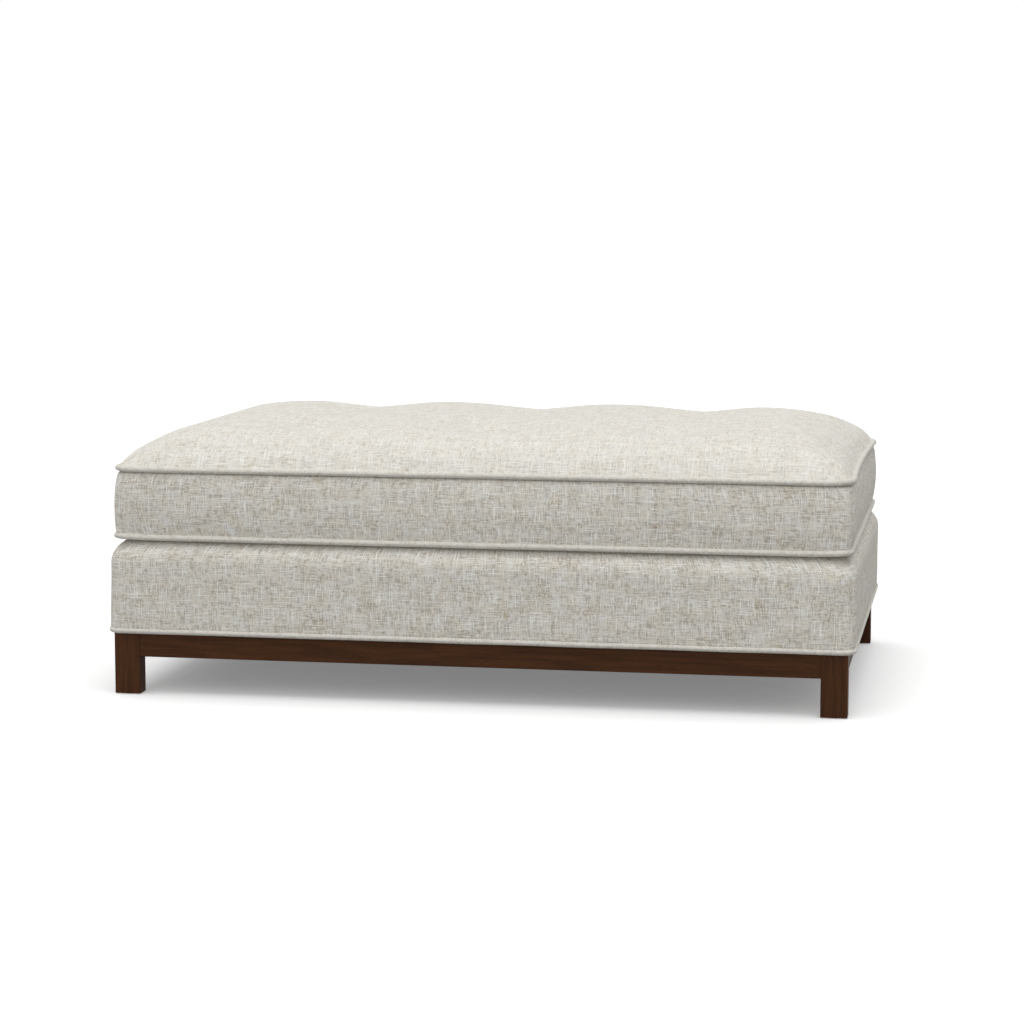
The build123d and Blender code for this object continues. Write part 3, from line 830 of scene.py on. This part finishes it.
# %% [markdown]
# The top rises steeply over the edge of the foam, then in a long easy curve to six tufts with no
# buttons, where a twine pulls it down. Between the tufts the cloth folds into shallow valleys, along
# both rows and across all three columns. The rise was measured from the photograph's outline.

# %% Height of the top panel
roll_height, roll_reach = 0.0205, 0.009
crown_height, crown_reach = 0.0545, 0.185
tuft_columns, tuft_row = (-0.313, 0.0, 0.313), 0.192
tufts = [(x, y) for x in tuft_columns for y in (-tuft_row, tuft_row)]
broad_dip, broad_reach = 0.0050, 0.120
deep_dip, deep_reach = 0.0120, 0.020


def valley(away, along, depth, reach, end, fade):
    """A fold that is deepest on its line, gone at reach away from it, and fades out before its end."""
    return depth * np.clip(1 - away / reach, 0, 1) ** 2 * np.clip((end - along) / fade, 0, 1)


def top_height(x, y, inset):
    """Crown of the top, with the tufts and the valleys between them."""
    height = top_seam + roll_height * (1 - np.exp(-inset / roll_reach))
    height += crown_height * (1 - (1 - np.clip(inset / crown_reach, 0, 1)) ** 2)
    from_column = np.min([np.abs(x - tuft_x) for tuft_x in tuft_columns], axis=0)
    from_row = np.abs(np.abs(y) - tuft_row)
    height -= valley(from_column, np.abs(y), depth=0.0095, reach=0.1565, end=0.34, fade=0.10)
    height -= valley(from_row, np.abs(x), depth=0.0045, reach=0.120, end=0.56, fade=0.15)
    for tuft_x, tuft_y in tufts:
        away = np.hypot(x - tuft_x, y - tuft_y)
        broad = 0.5 * (1 + np.cos(np.pi * np.clip(away / broad_reach, 0, 1)))
        height -= broad_dip * broad + deep_dip * np.exp(-away / deep_reach)
    return height


# %% Top and underside
deck_gap, foot_curve, panel_step = 0.0003, 0.014, 0.009
cushion_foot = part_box("cushion_bottom_panel")[0].z + deck_gap


def bottom_height(x, y, inset):
    """Flat on the deck, curving up to its seam."""
    return cushion_foot + (low_seam - cushion_foot) * np.clip(1 - inset / foot_curve, 0, 1) ** 2


def panel(half_x, half_y, seam_corner, growth, step, shape):
    """A grid of quads whose rings are bent to rounded rectangles, with a height for each inset."""
    xs, ys = ticks(half_x, step), ticks(half_y, step)
    x, y = (values.ravel() for values in np.meshgrid(xs, ys))
    inset = np.minimum(half_x - np.abs(x), half_y - np.abs(y))
    ring_x, ring_y = half_x - inset, half_y - inset
    corner = np.minimum(seam_corner + growth * inset, 0.8 * np.minimum(ring_x, ring_y) + 1e-6)
    px, py = bent(x, y, ring_x, ring_y, corner)
    points = np.column_stack([px, py, shape(px, py, inset)])
    return points, quads(len(ys), len(xs)), np.column_stack([px, py, np.zeros(len(px))])


panel_x, panel_y = seam_x - seam_depth, seam_y - seam_depth
top_part = panel(panel_x, panel_y, top_corner, growth=0.45, step=panel_step, shape=top_height)
bottom_part = panel(panel_x, panel_y, low_corner, growth=0.10, step=panel_step, shape=bottom_height)
bottom_part = flipped(bottom_part)
# The underside is cut from another place of the cloth, so its weave has other flecks.
bottom_cut = 7.0
bottom_part[2][:] += bottom_cut
print("points on the top", len(top_part[0]))

# %% One cover from three panels
climbs = (boxing_part[0][:, 2] - low_seam) / (top_seam - low_seam)
eared(top_part[0])
eared(boxing_part[0], np.clip(climbs, 0, 1))
panels = ["cushion_top_panel", "cushion_boxing", "cushion_bottom_panel"]
cushion = piece("cushion_cloth", [top_part, boxing_part, bottom_part], show_fabric, "cushion",
                [*panels, "cushion_foam_core", "cushion_crown_pad"])

# The top panel's faces take the copy of the linen with painted sheen.
cushion.data.materials.append(top_fabric_painted_sheen)
for face in cushion.data.polygons[:len(top_part[1])]:
    face.material_index = 1


# %% [markdown]
# ## Softening with a simulation
# Cloth that is sewn down at its seams and tufts still moves between them: its filling pushes it out.
# A cloth simulation with a little pressure and no gravity does just that. How far a point may move
# is capped, so that the size stays true. One subdivision then smooths what is left of the quads.

# %% Puff
def puff(obj, sewn, pressure, cap, frames=16):
    """Let pressure push the cloth out from its sewn points, then keep the new shape."""
    start = np.empty(len(obj.data.vertices) * 3)
    obj.data.vertices.foreach_get("co", start)
    group = obj.vertex_groups.new(name="sewn")
    group.add([int(i) for i in np.flatnonzero(sewn)], 1.0, "REPLACE")
    cloth = obj.modifiers.new("Cloth", "CLOTH")
    settings = cloth.settings
    settings.quality = 4
    settings.mass = 0.35
    settings.tension_stiffness = 14
    settings.compression_stiffness = 8
    settings.shear_stiffness = 6
    settings.bending_stiffness = 2.0
    settings.vertex_group_mass = "sewn"
    settings.use_pressure = True
    settings.uniform_pressure_force = pressure
    settings.effector_weights.gravity = 0
    cloth.point_cache.frame_start = 1
    cloth.point_cache.frame_end = frames
    for number in range(1, frames + 1):
        scene.frame_set(number)
    soft = obj.evaluated_get(bpy.context.evaluated_depsgraph_get())
    moved = np.empty(len(start))
    soft.data.vertices.foreach_get("co", moved)
    obj.modifiers.remove(cloth)
    obj.vertex_groups.clear()
    scene.frame_set(1)
    change = (moved - start).reshape(-1, 3)
    length = np.linalg.norm(change, axis=1)
    keep = cap * np.tanh(length / cap) / np.maximum(length, 1e-9)
    obj.data.vertices.foreach_set("co", (start.reshape(-1, 3) + change * keep[:, None]).ravel())
    obj.data.update()
    print(obj.name, "moved by up to", round(float(length.max()), 4), "and kept up to", cap)


# %% Fill the cushion
def refine(obj):
    """One subdivision, applied, so that no modifier is left on the piece."""
    obj.modifiers.new("Subdivision", "SUBSURF").levels = 1
    smooth = bpy.data.meshes.new_from_object(obj.evaluated_get(bpy.context.evaluated_depsgraph_get()))
    obj.modifiers.clear()
    obj.data = smooth
    obj.data.shade_smooth()
    print(obj.name, "now has", len(smooth.polygons), "faces")


tuft_hold, pressure, most_moved = 0.010, 3.0, 0.003
top_xy, top_z = top_part[0][:, :2], top_part[0][:, 2]
boxing_z = boxing_part[0][:, 2]
rim = np.minimum(panel_x - np.abs(top_xy[:, 0]), panel_y - np.abs(top_xy[:, 1])) < on_line
held = np.min([np.hypot(*(top_xy - tuft).T) for tuft in tufts], axis=0) < tuft_hold
top_sewn = rim | held | (np.abs(top_z - top_seam) < on_line)
boxing_sewn = np.minimum(boxing_z - low_seam, top_seam - boxing_z) < on_line
bottom_sewn = np.ones(len(bottom_part[0]), bool)
puff(cushion, np.concatenate([top_sewn, boxing_sewn, bottom_sewn]), pressure, most_moved)
refine(cushion)

# %% [markdown]
# ## Tufting stitches
# The tufts are blind: no button, only a short stitch of twine over the cloth at the bottom of each
# dip. Two threads lie side by side there, and they go down into the cushion to the discs under the
# foam.

# %% Twine over the cloth at each tuft
twine_radius, twine_reach, twine_dip, twine_lift = 0.0009, 0.004, 0.002, 0.0004
tuft_inset = np.array([panel_y - tuft_row])
tuft_stitches = []
for tuft_x, tuft_y in tufts:
    sunk = float(top_height(np.array([tuft_x]), np.array([tuft_y]), tuft_inset)[0])
    z = sunk + twine_lift
    for y in (tuft_y - twine_radius, tuft_y + twine_radius):
        start, end = (tuft_x - twine_reach, y, z), (tuft_x + twine_reach, y, z)
        tuft_stitches.append(stitch(start, end, twine_radius, twine_dip))
piece("tuft_stitches", tuft_stitches, sewing, "cushion")
